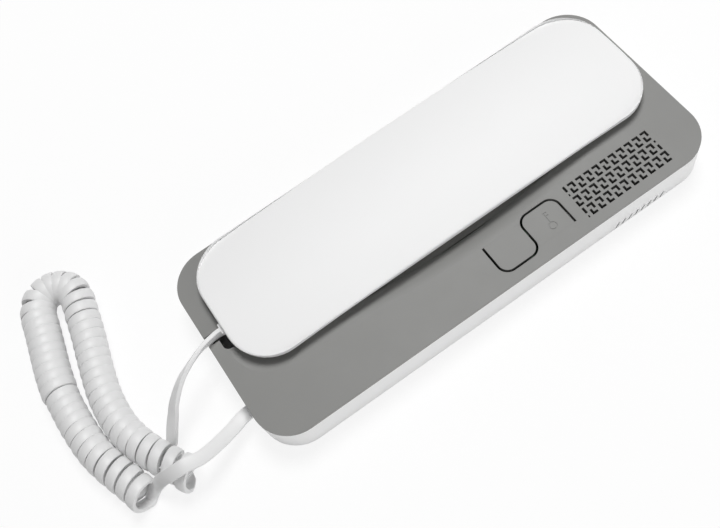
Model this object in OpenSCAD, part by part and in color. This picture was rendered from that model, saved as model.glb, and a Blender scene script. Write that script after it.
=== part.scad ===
// Audio intercom wall station with a lift-off handset and a curly cord.
// It lies on its back: +Z points out of the front, +Y to the top end and +X to the button strip.
// The origin is the centre of the back face. Millimetres.

/* [Base] */
// Length of the base, along Y
base_len = 210; // [190:1:240]
// Width of the base, along X
base_w = 90; // [82:1:110]
// Height of the front face above the back
base_h = 17; // [16.5:0.5:24]
// Corner radius of the base, seen from the front
corner_r = 16; // [10:1:20]
// Wall of the back shell
wall_t = 2; // [1.6:0.1:2.2]
// Floor of the back shell
floor_t = 2; // [1.6:0.1:2.4]
// Height of the set-back foot under the side walls
foot_h = 1; // [0.6:0.1:1.4]
// How far the foot is set back
foot_inset = 0.8; // [0.4:0.1:1.4]
// Clearance between fixed pieces that fit together
fit_gap = 0.2; // [0.1:0.05:0.3]

/* [Front cover] */
// Thickness of the front cover
cover_t = 2; // [1.6:0.1:2.6]
// Height of the cover's edge above the side wall
cover_edge = 1.2; // [0.8:0.1:1.5]
// Thickness of the lip that locates the cover
lip_t = 1.5; // [1:0.1:1.7]
// Depth of that lip under the cover
lip_h = 2.5; // [1.5:0.1:2.7]
// Wall of the cradle and its cups
skin_t = 1.6; // [1.2:0.1:1.8]
// Depth of the cradle under the front face
cradle_depth = 4.5; // [3.5:0.1:4.8]
// Room around the handset's back in the cradle
cradle_gap = 1; // [0.6:0.1:1.6]
// Gap between the cradle and the resting handset
seat_gap = 0.3; // [0.2:0.05:0.5]
// Radius of the finger scoop's rolled edge
scoop_r = 11; // [9.5:0.5:13]
// Plan radius of the scoop's crescent
scoop_bow = 300; // [280:10:320]
// Width of the scoop outside the handset's edge
scoop_w = 8.25; // [7.5:0.25:9]

/* [Handset] */
// Width of the button strip beside the handset
strip_w = 28.75; // [28:0.25:32]
// Margin between the base's cord end and the handset
cord_margin = 8.5; // [8:0.25:12]
// Corner radius of the handset
handset_r = 19; // [14:1:22]
// Margin between the base's far edge and the handset
far_margin = 2.75; // [2.5:0.25:4]
// Margin between the base's top end and the handset
top_margin = 3.5; // [3:0.25:5]
// Gap between the front face and the handset's rim
rim_gap = 2.3; // [1.8:0.1:3.2]
// Height of the handset's rim
rim_h = 3.7; // [3.6:0.1:5]
// Crown of the handset above its rim
crown_h = 3.3; // [2.6:0.1:3.6]
// Wall of the handset's front shell
front_t = 1.8; // [1.6:0.1:1.9]
// Wall of the handset's back shell
back_t = 1.8; // [1.5:0.1:2]
// Overhang of the rim over the back shell
rim_over = 3.6; // [3.2:0.1:4.4]
// Radius of the ear boss
ear_r = 18; // [17.5:0.5:20]
// Drop of the ear boss below the grip
ear_drop = 5; // [4:0.1:5.2]
// Radius of the mouth boss
mouth_r = 14; // [12:0.5:16]
// Drop of the mouth boss below the grip
mouth_drop = 4; // [3:0.1:5]
// Distance from the handset's top end to the ear's centre
ear_in = 29; // [26:1:34]
// Distance from the handset's cord end to the mouth's centre
mouth_in = 31; // [30:1:36]

/* [Buttons and grille] */
// Distance from the base's near edge to the middle of the button strip
strip_in = 13; // [13:0.25:14]
// Width of the slit round the buttons
slit_w = 1; // [0.8:0.1:1.2]
// Width of the S that the slit draws, along X
tongue_w = 16; // [14:0.25:16.5]
// Length of one button, along Y
tongue_len = 17.6; // [14:0.25:18]
// Corner radius of the slit
tongue_r = 4.5; // [3:0.25:5.5]
// Distance from the base's top end to the middle of the S
tongue_in = 83.1; // [81:0.1:85]
// Pitch of the grille's slots along Y
grille_pitch = 4.05; // [3.9:0.05:4.4]
// Pitch of the grille's bands along X
band_pitch = 5.95; // [5.7:0.05:6.1]
// Pairs of slots in one band
grille_count = 10; // [8:1:10]
// Width of one grille slot
slot_w = 1.05; // [0.8:0.05:1.1]
// Length of a slot's arm
slot_arm = 2.3; // [2:0.1:2.4]
// Distance from the base's top end to the middle of the grille
grille_in = 39.65; // [38:0.05:41]

/* [Inside the base] */
// Length along the base that the ear and mouth cups take from the board
cup_room = 53; // [52:0.5:56]
// Thickness of the main board
board_t = 1.6; // [1.2:0.1:1.8]
// Height of the standoffs under the board
standoff_h = 2.5; // [2:0.1:2.8]
// Travel of the hook plunger
hook_travel = 4; // [3:0.1:4]
// Radius of the hook plunger
hook_r = 4.2; // [3.6:0.1:5]
// Distance from the handset's far edge to the hook plunger
hook_in = 15.25; // [14:0.25:17]
// Width of the call speaker
speaker_w = 18; // [16:0.5:18]
// Length of the call speaker
speaker_len = 38; // [36:0.5:40]
// Distance between the two wall screws
wall_pitch = 94; // [92:1:98]
// Diameter of a wall screw's hole
wall_hole_d = 4.5; // [4:0.1:5.5]
// Diameter of the cable entry
entry_d = 14; // [10:0.5:16]
// Vent slots in the near wall
vent_count = 8; // [4:1:10]
// Pitch of the vent slots
vent_pitch = 3.2; // [2.6:0.1:3.6]
// Width of a vent slot
vent_w = 1; // [0.8:0.1:1.4]

/* [Cord] */
// Width of the flat cord
cord_w = 3.5; // [3:0.1:3.5]
// Thickness of the flat cord
cord_t = 2.3; // [2:0.1:2.4]
// Outer diameter of the curls at the coil's ends
curl_d = 13.4; // [12.8:0.1:13.4]
// Diameter of the straight ends
tail_d = 3.4; // [2.8:0.1:3.6]
// Plug width
plug_w = 7.6; // [7:0.1:8]
// Plug height
plug_h = 4.6; // [4.2:0.1:4.8]
// Plug length
plug_len = 11.8; // [10:0.1:12]

/* [Hidden] */
$fn = 48;
fine = 720;
over = 1;
// How far joined solids reach into each other
bite = 0.1;

// Heights, from the back face upward
plate_z = base_h - cover_t;
wall_top = base_h - cover_edge;
cradle_z = base_h - cradle_depth;
cradle_under = cradle_z - skin_t;
grip_z = cradle_z + seat_gap;
ear_z = grip_z - ear_drop;
mouth_z = grip_z - mouth_drop;
rim_z = base_h + rim_gap;
rim_top = rim_z + rim_h;
crown_z = rim_top + crown_h;
flange_h = 1.5;
board_z = floor_t + standoff_h;
board_top = board_z + board_t;

// Places across the base
handset_w = base_w - far_margin - strip_w;
handset_len = base_len - top_margin - cord_margin;
handset_x = -base_w / 2 + far_margin + handset_w / 2;
handset_y = base_len / 2 - top_margin - handset_len / 2;
handset_near = handset_x + handset_w / 2;
handset_far = handset_x - handset_w / 2;
ear_y = handset_y + handset_len / 2 - ear_in;
mouth_y = handset_y - handset_len / 2 + mouth_in;
cord_end_y = handset_y - handset_len / 2;
cradle_inset = rim_over - cradle_gap;
strip_x = base_w / 2 - strip_in;
tongue_y = base_len / 2 - tongue_in;
grille_y = base_len / 2 - grille_in;
inner_x = base_w / 2 - wall_t;
inner_y = base_len / 2 - wall_t;

// The finger scoop: a crescent with a rolled edge along the handset's near side
scoop_edge = handset_near + scoop_w;
scoop_end = 21;
scoop_half = handset_len / 2 - scoop_end;
scoop_axis_z = base_h - scoop_r;
// A shallow dish round the handset's near corner at the cord end
dish_r = 16;
dish_depth = 1.1;
dish_shift = 5.5;

// The S-shaped slit and its two tongues
slit_low = strip_x - tongue_w / 2;
slit_high = strip_x + tongue_w / 2;
root_in = 1.6;
root_gap = 0.02;
door_root = slit_high - root_in;
aux_root = slit_low + root_in;
press_in = 4.4;
door_press = [slit_low + press_in, tongue_y + tongue_len / 2];
aux_press = [slit_high - press_in, tongue_y - tongue_len / 2];
stem_r = 1.2;
root_bead = 0.6;
icon_depth = 0.2;

// Switches under the tongues
switch_w = 6;
switch_h = 3.5;
switch_r = 1.75;
switch_rise = 1.4;
switch_sink = 1.5;
switch_well = 2.2;
switch_play = 0.6;
switch_top = board_top + switch_h + switch_rise;

// Board and what stands on it
board_gap = 2;
hook_gap = 0.8;
board_shift = 5;
hook_x = handset_far + hook_in;
board_near = inner_x - board_gap;
board_far = hook_x + hook_r + hook_gap;
board_len = ear_y - mouth_y - cup_room;
board_x = (board_near + board_far) / 2;
board_y = (ear_y + mouth_y) / 2 - board_shift;
post_in = 4;
post_r = 3;
board_posts = [for (x = [board_far + post_in, board_near - post_in], y = [-1, 1])
               [x, board_y + y * (board_len / 2 - post_in)]];
small_screw_r = 1.2;
small_head_r = 2.4;
small_head_h = 1.6;
screw_play = 0.12;
hole_floor = 0.4;
tip_air = 0.2;

// Hook plunger beside the board's far edge
hook_play = 0.3;
hook_shift = 10.5;
hook_y = board_y - hook_shift;
hook_wing_t = 1;
hook_foot = cradle_under - hook_play - hook_travel - hook_wing_t;
hook_wing = 7;
hook_wing_w = 4;
hook_post_r = 1.8;
hook_post_air = 1.4;
spring_r = 2.9;
spring_wire = 0.7;
spring_turns = 2.5;
spring_air = 0.1;
spring_cup_r = 3.7;
spring_cup_t = 1;
spring_cup_h = 1.2;

// Call speaker under the grille
gasket_t = 1;
speaker_z = plate_z - gasket_t;
speaker_flange = 1.2;
speaker_basket = 3.8;
speaker_rim = 1.5;
collar_t = 1.2;
cone_sink = 1;
cone_play = 0.2;
magnet_h = 3.2;

// Cover screws stand in cups in the cradle's floor
cover_post_in = 9.25;
cover_post_ear = 40.5;
cover_post_mouth = 21.5;
cover_posts = [[handset_far + cover_post_in, ear_y - cover_post_ear],
               [handset_far + cover_post_in, mouth_y + cover_post_mouth]];
cup_r = 4;
cup_drop = 2.2;
cup_z = cradle_z - cup_drop;
big_screw_r = 1.4;
big_head_r = 2.7;
big_head_h = 1.8;

// Plugs and jacks
jack_wall = 1.8;
jack_skin = 0.8;
jack_play = 0.2;
base_plug_x = strip_x - 10;
base_plug_z = 7.6;
base_plug_y = -base_len / 2 + fit_gap;
base_jack_len = 14;
base_jack_h = 10.2;
plug_back = 0.3;
hand_plug_x = handset_x + 4.5;
hand_floor = grip_z + back_t;
hand_plug_z = hand_floor + jack_skin + jack_play + plug_h / 2;
hand_back_y = cord_end_y + rim_over;
hand_plug_y = hand_back_y - plug_back;
hand_jack_y = hand_back_y + back_t;
hand_jack_len = plug_len + jack_wall - 1;
notch_side = 2.3;
notch_len = 4.8;
well_w = 10.3;
well_len = 6.6;
well_r = 2.5;

// Handset pieces
flange_inset = front_t + 2 * fit_gap;
crown_gap = 0.1;
seam_y = [35, -35];
seam_r = 3.5;
seam_bite = 0.4;
seam_z = hand_floor + 2.4;
seam_head_z = hand_floor + fit_gap;
seal_t = 0.8;
receiver_r = 15;
receiver_h = 8;
receiver_rim = 1;
receiver_roof = 1.5;
receiver_step = 1.2;
receiver_z = ear_z + back_t + seal_t;
boot_r = 6;
boot_h = 6.4;
mic_r = 4.8;
mic_h = 5;
mic_sink = 1;
mic_play = 0.05;
wire_r = 0.6;

// The coil's route, chosen by hand on the surface that the base lies on, from the middle of its cord end
coil_route = [[28, -50.6], [20, -53], [13, -55.5], [6, -57.9], [-2, -59.9], [-12, -61], [-22, -61.3],
              [-32, -61], [-42, -59.6], [-52, -57.4], [-62, -55.2], [-69.2, -53.7], [-74.8, -49.9],
              [-76.1, -43.4], [-72.3, -37.8], [-65.8, -36.5], [-57.6, -38], [-48, -39.9], [-38.5, -42.2],
              [-29, -44.4], [-20, -46], [-11, -46.5], [-3, -46], [5, -44], [13, -40.8], [20, -37.2],
              [27, -33.2]];
// Curls against the length of the coil's axis: open at both ends and round the bend
first_turn = 210;
last_turn = 47 * 360;
curls = (last_turn - first_turn) / 360;
curl_table = [[0, 0], [4, 25], [8, 45], [17, 84], [19.5, 95], [25, 122], [27.2, 133], [39.5, 187],
              [42.5, 203], [curls, 226]];
// How much the coil bends, and how much thicker it is than at its ends
bend_table = [[0, 0], [17.9, 0], [19.8, 1], [24.7, 1], [26.6, 0], [curls, 0]];
swell_table = [[0, 0], [9, 0.2], [13, 1.6], [20, 1.6], [25, 1], [34, 0.4], [curls, -0.2]];
bend_pull = 0.55;
bend_tip = 75;
lead = 4.2;
// The straight ends' routes: first from the end of the coil's lead, then up to the plug's back
base_rise = [[0, 0, 0], [0.6, 1.4, 2.8], [1.6, 3.6, 5], [2.8, 7.4, 6.7], [3.6, 13, 7.1]];
base_run = [[6.4, -24.2, 6.2], [4.4, -16.2, 3.2], [2.2, -9.2, 1.1], [0.4, -4.2, 0.1], [0, 0, 0]];
handset_rise = [[0, 0, 0], [-0.7, 0.3, 2.6], [-3.4, 1, 4.4], [-7.5, 2.2, 5.2], [-12, 4, 6]];
handset_run = [[10.5, -28.3, 2.4], [5.5, -21.8, 2.3], [1.9, -14.8, 1.1], [0.3, -8.3, 0.2], [0, -3.8, 0],
               [0, 0, 0]];

// Shared shapes

// Rectangle with round corners, about the origin
module round_rect(w, l, r) {
    square([w - 2 * r, l], center = true);
    square([w, l - 2 * r], center = true);
    for (x = [-1, 1], y = [-1, 1])
        translate([x * (w / 2 - r), y * (l / 2 - r)]) circle(r);
}

// Slot with round ends, long along Y
module race(w, l) {
    square([w, l - w], center = true);
    for (y = [-1, 1]) translate([0, y * (l - w) / 2]) circle(d = w);
}

module base_outline(inset = 0) {
    round_rect(base_w - 2 * inset, base_len - 2 * inset, corner_r - inset);
}

module handset_outline(inset = 0) {
    translate([handset_x, handset_y])
        round_rect(handset_w - 2 * inset, handset_len - 2 * inset, handset_r - inset);
}

// Extrudes a flat shape from one height to another
module between(z0, z1) {
    translate([0, 0, z0]) linear_extrude(z1 - z0) children();
}

module post(p, r, z0, z1) {
    translate([p[0], p[1], z0]) cylinder(h = z1 - z0, r = r);
}

module block(x0, x1, y0, y1, z0, z1) {
    translate([x0, y0, z0]) cube([x1 - x0, y1 - y0, z1 - z0]);
}

// Cylinder along Y
module rod_y(p, r, len) {
    translate(p) rotate([-90, 0, 0]) cylinder(h = len, r = r);
}

// Tongue seen from the front: straight at its root and round at its free end
module tongue(root, free, y0, y1, r) {
    side = free > root ? 1 : -1;
    translate([min(root, free - side * r), y0]) square([abs(free - root) - r, y1 - y0]);
    translate([min(free, free - side * r), y0 + r]) square([r, y1 - y0 - 2 * r]);
    for (y = [y0 + r, y1 - r]) translate([free - side * r, y]) circle(r);
}

module door_outline(grow) {
    tongue(door_root, slit_low + slit_w / 2 - grow, tongue_y + slit_w / 2 - grow,
           tongue_y + tongue_len - slit_w / 2 + grow, tongue_r + grow - slit_w / 2);
}

module aux_outline(grow) {
    tongue(aux_root, slit_high - slit_w / 2 + grow, tongue_y - tongue_len + slit_w / 2 - grow,
           tongue_y - slit_w / 2 + grow, tongue_r + grow - slit_w / 2);
}

// Room of each tongue in the cover: the slit stops where the other tongue's round corner begins
module door_room() {
    difference() {
        door_outline(slit_w);
        translate([slit_high - tongue_r, tongue_y - slit_w]) square([tongue_r, 1.5 * slit_w - root_gap]);
    }
}

module aux_room() {
    difference() {
        aux_outline(slit_w);
        translate([slit_low, tongue_y - slit_w / 2 + root_gap]) square([tongue_r, 1.5 * slit_w]);
    }
}

// Handset's crown: a wide arch across it and a long one along it
module crown(drop) {
    across = (pow(handset_w / 2, 2) + pow(crown_h, 2)) / (2 * crown_h);
    along = (pow(handset_len / 2, 2) + pow(crown_h, 2)) / (2 * crown_h);
    translate([handset_x, handset_y, crown_z - drop - along]) rotate([0, 90, 0])
        rotate_extrude($fn = fine) translate([along - across, 0]) circle(across, $fn = 240);
}

// Base pieces

module vents() {
    vent_mid = grille_y + 1.8;
    vent_z = 3.2;
    vent_len = 3.6;
    vent_lean = 25;
    for (i = [0 : vent_count - 1])
        translate([inner_x, vent_mid + (i - (vent_count - 1) / 2) * vent_pitch, vent_z])
            rotate([-vent_lean, 0, 0]) cube([3 * wall_t, vent_w, vent_len], center = true);
}

module back_shell() {
    color("gainsboro") difference() {
        union() {
            difference() {
                union() {
                    between(foot_h, wall_top) base_outline();
                    between(0, foot_h + bite) base_outline(foot_inset);
                }
                between(floor_t, wall_top + over) base_outline(wall_t);
            }
            for (p = board_posts) post(p, post_r, floor_t - bite, board_z);
            for (p = cover_posts) post(p, cup_r, floor_t - bite, cup_z - skin_t);
            difference() {
                post([hook_x, hook_y], spring_cup_r + spring_cup_t, floor_t - bite, floor_t + spring_cup_h);
                post([hook_x, hook_y], spring_cup_r, floor_t, floor_t + spring_cup_h + over);
            }
        }
        for (p = board_posts) post(p, small_screw_r + screw_play, floor_t + hole_floor, board_z + over);
        for (p = cover_posts) post(p, big_screw_r + screw_play, floor_t + hole_floor, cup_z);
        for (y = [-1, 1]) post([0, y * wall_pitch / 2], wall_hole_d / 2, -over, floor_t + over);
        post(entry_place(), entry_d / 2, -over, floor_t + over);
        vents();
        block(base_plug_x - plug_w / 2 - jack_play, base_plug_x + plug_w / 2 + jack_play,
              -base_len / 2 - over, -inner_y + over,
              base_plug_z - plug_h / 2 - jack_play, base_plug_z + plug_h / 2 + jack_play);
    }
}

entry_in = [15, 39];
function entry_place() = [base_w / 2 - entry_in[0], -base_len / 2 + entry_in[1]];

// Two L-shaped slots that hook into each other, with the first one's corner at the origin
slot_reach = 3.9;
slot_step = 0.2;
module hooked_slots() {
    h = slot_w / 2;
    inner_arm = slot_arm - slot_step;
    polygon([[-h, -slot_arm], [-h, h], [slot_arm, h], [slot_arm, -h], [h, -h], [h, -slot_arm]]);
    translate([slot_reach, -grille_pitch / 2])
        polygon([[-inner_arm, -h], [h, -h], [h, inner_arm], [-h, inner_arm], [-h, h], [-inner_arm, h]]);
}

// Bands of hooked slots, every second band half a pitch lower, cut off straight at both ends
module grille() {
    bands = 3;
    half_len = grille_count * grille_pitch / 2;
    grille_w = (bands - 1) * band_pitch + slot_reach + slot_w;
    translate([strip_x, grille_y]) intersection() {
        square([grille_w, 2 * half_len + slot_w], center = true);
        translate([-grille_w / 2 + slot_w / 2, half_len])
            for (b = [0 : bands - 1], i = [-1 : grille_count])
                translate([b * band_pitch, -(i + (b % 2) / 2) * grille_pitch]) hooked_slots();
    }
}

module scoop_zone(z0, z1) {
    block(handset_near - rim_over - 2 * over, scoop_edge + 2 * over,
          handset_y - scoop_half, handset_y + scoop_half, z0, z1);
}

module scoop_place() {
    translate([scoop_edge - scoop_bow, handset_y, 0]) children();
}

// Rolled wall under the scoop
module scoop_wall() {
    intersection() {
        scoop_zone(cradle_under, base_h);
        scoop_place() rotate_extrude($fn = fine) translate([scoop_bow, scoop_axis_z]) intersection() {
            difference() {
                circle(scoop_r);
                circle(scoop_r - skin_t);
            }
            translate([-scoop_r - over, 0]) square([scoop_r + over, scoop_r + over]);
        }
    }
}

// Room above the scoop, down to the cradle's floor
module scoop_room() {
    intersection() {
        scoop_zone(cradle_z, base_h + over);
        scoop_place() difference() {
            cylinder(h = base_h + over, r = scoop_bow, $fn = fine);
            rotate_extrude($fn = fine) translate([scoop_bow, scoop_axis_z]) circle(scoop_r);
        }
    }
}

module corner_dish() {
    r = (pow(dish_r, 2) + pow(dish_depth, 2)) / (2 * dish_depth);
    translate([handset_near - handset_r + dish_shift, cord_end_y + handset_r - dish_shift,
               base_h - dish_depth + r]) sphere(r, $fn = fine);
}

// Notch that the handset's cord leaves by, and the well beside it for the plug
module cord_notch() {
    left = hand_plug_x - notch_side;
    well_y = -base_len / 2 + notch_len;
    translate([left, -base_len / 2 - over]) square([2 * notch_side, notch_len + over + well_r]);
    translate([left, well_y]) square([well_w - well_r, well_len]);
    translate([left + well_w - 2 * well_r, well_y + well_r]) square([2 * well_r, well_len - well_r]);
    translate([left + well_w - well_r, well_y + well_r]) circle(well_r);
}

module front_cover() {
    color("gray") difference() {
        union() {
            between(wall_top, base_h) base_outline();
            between(plate_z, wall_top + bite) base_outline(wall_t + fit_gap);
            difference() {
                between(plate_z - lip_h, plate_z + bite) base_outline(wall_t + fit_gap);
                between(plate_z - lip_h - over, plate_z + over) base_outline(wall_t + fit_gap + lip_t);
            }
            scoop_wall();
            between(cradle_under, plate_z + bite) handset_outline(cradle_inset - skin_t);
            post([handset_x, ear_y], ear_r + cradle_gap + skin_t, ear_z - seat_gap - skin_t, plate_z);
            post([handset_x, mouth_y], mouth_r + cradle_gap + skin_t, mouth_z - seat_gap - skin_t, plate_z);
            for (p = cover_posts) post(p, cup_r, cup_z - skin_t, cradle_z);
            translate([strip_x, grille_y]) difference() {
                between(speaker_z - speaker_flange, plate_z + bite)
                    race(speaker_w + 2 * collar_t, speaker_len + 2 * collar_t);
                between(speaker_z - speaker_flange - over, plate_z)
                    race(speaker_w + 2 * fit_gap, speaker_len + 2 * fit_gap);
            }
        }
        between(cradle_z, base_h + over) handset_outline(cradle_inset);
        post([handset_x, ear_y], ear_r + cradle_gap, ear_z - seat_gap, base_h);
        post([handset_x, mouth_y], mouth_r + cradle_gap, mouth_z - seat_gap, base_h);
        scoop_room();
        corner_dish();
        for (p = cover_posts) {
            post(p, big_head_r + fit_gap, cup_z, cradle_z + over);
            post(p, big_screw_r + screw_play, cup_z - skin_t - over, cup_z + over);
        }
        post([hook_x, hook_y], hook_r + hook_play, cradle_under - over, cradle_z + over);
        between(plate_z - over, base_h + over) {
            door_room();
            aux_room();
            grille();
            cord_notch();
        }
    }
}

// Key sign sunk into the door button
module key_sign() {
    bow_r = 1.8;
    line = 0.5;
    shaft = 4.7;
    tooth = 1.5;
    tooth_pitch = 1.4;
    sign_in = 3.9;
    sign_shift = 0.9;
    translate([door_root - sign_in, door_press[1] + sign_shift]) {
        difference() {
            circle(bow_r);
            circle(bow_r - line);
        }
        translate([-bow_r - shaft, -line / 2]) square([shaft + line / 2, line]);
        for (x = [0, tooth_pitch]) translate([-bow_r - shaft + x, 0]) square([line, tooth]);
    }
}

module stem(p) {
    post(p, stem_r, switch_top, plate_z + bite);
}

// Quarter-round bead under a tongue's root, along the line that the tongue bends on
module bead(x, y, side) {
    intersection() {
        rod_y([x, y, plate_z], root_bead, tongue_len - slit_w);
        block(min(x, x + side * over), max(x, x + side * over), y, y + tongue_len, plate_z - over,
              plate_z + bite);
    }
}

module door_button() {
    color("dimgray") {
        difference() {
            between(plate_z, base_h) intersection() {
                door_outline(0);
                translate([-base_w, -base_len]) square([base_w + door_root - root_gap, 2 * base_len]);
            }
            between(base_h - icon_depth, base_h + over) key_sign();
        }
        stem(door_press);
        bead(door_root - root_gap, tongue_y + slit_w / 2, -1);
    }
}

module aux_button() {
    color("dimgray") {
        between(plate_z, base_h) intersection() {
            aux_outline(0);
            translate([aux_root + root_gap, -base_len]) square([base_w, 2 * base_len]);
        }
        stem(aux_press);
        bead(aux_root + root_gap, tongue_y - tongue_len + slit_w / 2, 1);
    }
}

module main_board() {
    color("darkgreen") difference() {
        block(board_far, board_near, board_y - board_len / 2, board_y + board_len / 2, board_z, board_top);
        for (p = board_posts) post(p, small_screw_r + screw_play, board_z - over, board_top + over);
    }
}

poles = 5;
pole_pitch = 5;
terminal_w = 9;
terminal_h = 8;
terminal_well = 3.2;
terminal_in = 10;
terminal_y = board_y - board_len / 2 + terminal_in;
terminal_sink = 0.4;
wire_hole = 3;
wire_floor = 1;
terminal_r = 1.8;

function pole(i) = [strip_x, terminal_y + (i + 0.5) * pole_pitch];

module terminal_block() {
    color("seagreen") difference() {
        block(strip_x - terminal_w / 2, strip_x + terminal_w / 2, terminal_y, terminal_y + poles * pole_pitch,
              board_top, board_top + terminal_h);
        for (i = [0 : poles - 1]) {
            post(pole(i), terminal_r + fit_gap, board_top + terminal_h - terminal_well,
                 board_top + terminal_h + over);
            translate([strip_x - terminal_w / 2 - over, pole(i)[1] - wire_hole / 2, board_top + wire_floor])
                cube([terminal_w / 2, wire_hole, wire_hole]);
        }
    }
}

module terminal_screws() {
    slot = 0.7;
    slot_depth = 0.9;
    top = board_top + terminal_h - terminal_sink;
    color("silver") for (i = [0 : poles - 1]) difference() {
        post(pole(i), terminal_r, board_top + terminal_h - terminal_well, top);
        translate([pole(i)[0], pole(i)[1], top])
            cube([slot, 2 * terminal_r + over, 2 * slot_depth], center = true);
    }
}

module controller_chip() {
    chip_w = 7.5;
    chip_len = 12;
    chip_h = 2;
    legs = 8;
    leg_pitch = 1.27;
    leg_w = 0.4;
    leg_t = 0.6;
    leg_out = 1.2;
    shift = [-6.5, 1.5];
    place = [board_x, board_y] + shift;
    color("black") translate([place[0], place[1], board_top]) {
        translate([-chip_w / 2, -chip_len / 2, 0]) cube([chip_w, chip_len, chip_h]);
        for (i = [0 : legs - 1])
            translate([-chip_w / 2 - leg_out, (i - (legs - 1) / 2) * leg_pitch - leg_w / 2, 0])
                cube([chip_w + 2 * leg_out, leg_w, leg_t]);
    }
}

module address_switch() {
    keys = 6;
    key_pitch = 2.54;
    key = [4, 1.6];
    key_sink = 0.8;
    case_w = 8;
    case_h = 2.8;
    case_len = keys * key_pitch + 2;
    shift = [-14.5, 26.1];
    color("firebrick") translate([board_x, board_y, board_top] + [shift[0], shift[1], 0]) difference() {
        translate([-case_w / 2, -case_len / 2, 0]) cube([case_w, case_len, case_h]);
        for (i = [0 : keys - 1])
            translate([-key[0] / 2, (i - (keys - 1) / 2) * key_pitch - key[1] / 2, case_h - key_sink])
                cube([key[0], key[1], case_h]);
    }
}

module capacitors() {
    cap_r = 2.6;
    cap_h = 6;
    cap_shift = [4, 8];
    cap_y = tongue_y - tongue_len - cap_shift[1];
    color("midnightblue") for (side = [-1, 1])
        post([strip_x + side * cap_shift[0], cap_y], cap_r, board_top, board_top + cap_h);
}

module switch_body(p) {
    difference() {
        block(p[0] - switch_w / 2, p[0] + switch_w / 2, p[1] - switch_w / 2, p[1] + switch_w / 2,
              board_top, board_top + switch_h);
        post(p, switch_r + switch_play, board_top + switch_h - switch_well, board_top + switch_h + over);
    }
}

module switch_plunger(p) {
    post(p, switch_r, board_top + switch_h - switch_sink, switch_top);
}

module door_switch() {
    color("darkslategray") switch_body(door_press);
}

module aux_switch() {
    color("darkslategray") switch_body(aux_press);
}

module door_plunger() {
    color("ivory") switch_plunger(door_press);
}

module aux_plunger() {
    color("ivory") switch_plunger(aux_press);
}

module hook_plunger() {
    color("whitesmoke") {
        post([hook_x, hook_y], hook_r, hook_foot, cradle_z);
        block(hook_x - hook_wing_w / 2, hook_x + hook_wing_w / 2, hook_y - hook_wing, hook_y + hook_wing,
              hook_foot, hook_foot + hook_wing_t);
        post([hook_x, hook_y], hook_post_r, floor_t + hook_post_air, hook_foot + bite);
    }
}

module hook_switch() {
    size = [6, 8, 4];
    tip_w = 2;
    tip_t = 1.2;
    tip_z = 1.5;
    edge_in = 1;
    x = board_far + edge_in;
    tip_x = hook_x + hook_r + hook_play;
    color("darkslategray") {
        translate([x, hook_y - size[1] / 2, board_top]) cube(size);
        translate([tip_x, hook_y - tip_w / 2, board_top + tip_z]) cube([x - tip_x + bite, tip_w, tip_t]);
    }
}

module speaker_frame() {
    color("darkgray") translate([strip_x, grille_y, 0]) difference() {
        union() {
            between(speaker_z - speaker_flange, speaker_z) race(speaker_w, speaker_len);
            between(speaker_z - speaker_flange - speaker_basket, speaker_z)
                race(speaker_w - 2 * speaker_rim, speaker_len - 2 * speaker_rim);
        }
        between(speaker_z - speaker_basket, speaker_z + over)
            race(speaker_w - 4 * speaker_rim, speaker_len - 4 * speaker_rim);
        between(speaker_z - cone_sink, speaker_z + over)
            race(speaker_w - 2 * speaker_rim - cone_sink, speaker_len - 2 * speaker_rim - cone_sink);
    }
}

module speaker_cone() {
    cone_t = 0.6;
    cap_r = 4;
    cap_h = 1.5;
    inset = speaker_rim + cone_sink / 2 + cone_play;
    color("dimgray") translate([strip_x, grille_y, 0]) {
        between(speaker_z - cone_sink, speaker_z - cone_sink + cone_t)
            race(speaker_w - 2 * inset, speaker_len - 2 * inset);
        between(speaker_z - cone_sink + bite - cap_h, speaker_z - cone_sink + bite) circle(cap_r);
    }
}

module speaker_magnet() {
    top = speaker_z - speaker_flange - speaker_basket;
    inset = speaker_rim + 1;
    color("slategray") post([strip_x, grille_y], speaker_w / 2 - inset, top - magnet_h, top);
}

module speaker_gasket() {
    color("black") translate([strip_x, grille_y, 0]) between(speaker_z, plate_z) difference() {
        race(speaker_w, speaker_len);
        race(speaker_w - 2 * speaker_rim, speaker_len - 2 * speaker_rim);
    }
}

// Plug body, from its back face along +Y
module plug(x, y, z) {
    block(x - plug_w / 2, x + plug_w / 2, y, y + plug_len, z - plug_h / 2, z + plug_h / 2);
}

// Jack round a plug, with its mouth at y
module jack(x, y, z, len, z0, z1) {
    difference() {
        block(x - plug_w / 2 - jack_wall, x + plug_w / 2 + jack_wall, y, y + len, z0, z1);
        block(x - plug_w / 2 - jack_play, x + plug_w / 2 + jack_play, y - over, y + len - jack_wall,
              z - plug_h / 2 - jack_play, z + plug_h / 2 + jack_play);
    }
}

module base_jack() {
    color("black") jack(base_plug_x, -inner_y, base_plug_z, base_jack_len, floor_t, floor_t + base_jack_h);
}

module base_plug() {
    color("lightcyan") plug(base_plug_x, base_plug_y, base_plug_z);
}

module board_screws() {
    color("silver") for (p = board_posts) {
        post(p, small_head_r, board_top, board_top + small_head_h);
        post(p, small_screw_r, floor_t + hole_floor + tip_air, board_top + bite);
    }
}

module cover_screws() {
    color("silver") for (p = cover_posts) {
        post(p, big_head_r, cup_z, cup_z + big_head_h);
        post(p, big_screw_r, floor_t + hole_floor + 2 * tip_air, cup_z + bite);
    }
}

// Handset pieces

module seam_places() {
    for (y = seam_y) translate([handset_x, handset_y + y, 0]) children();
}

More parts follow.
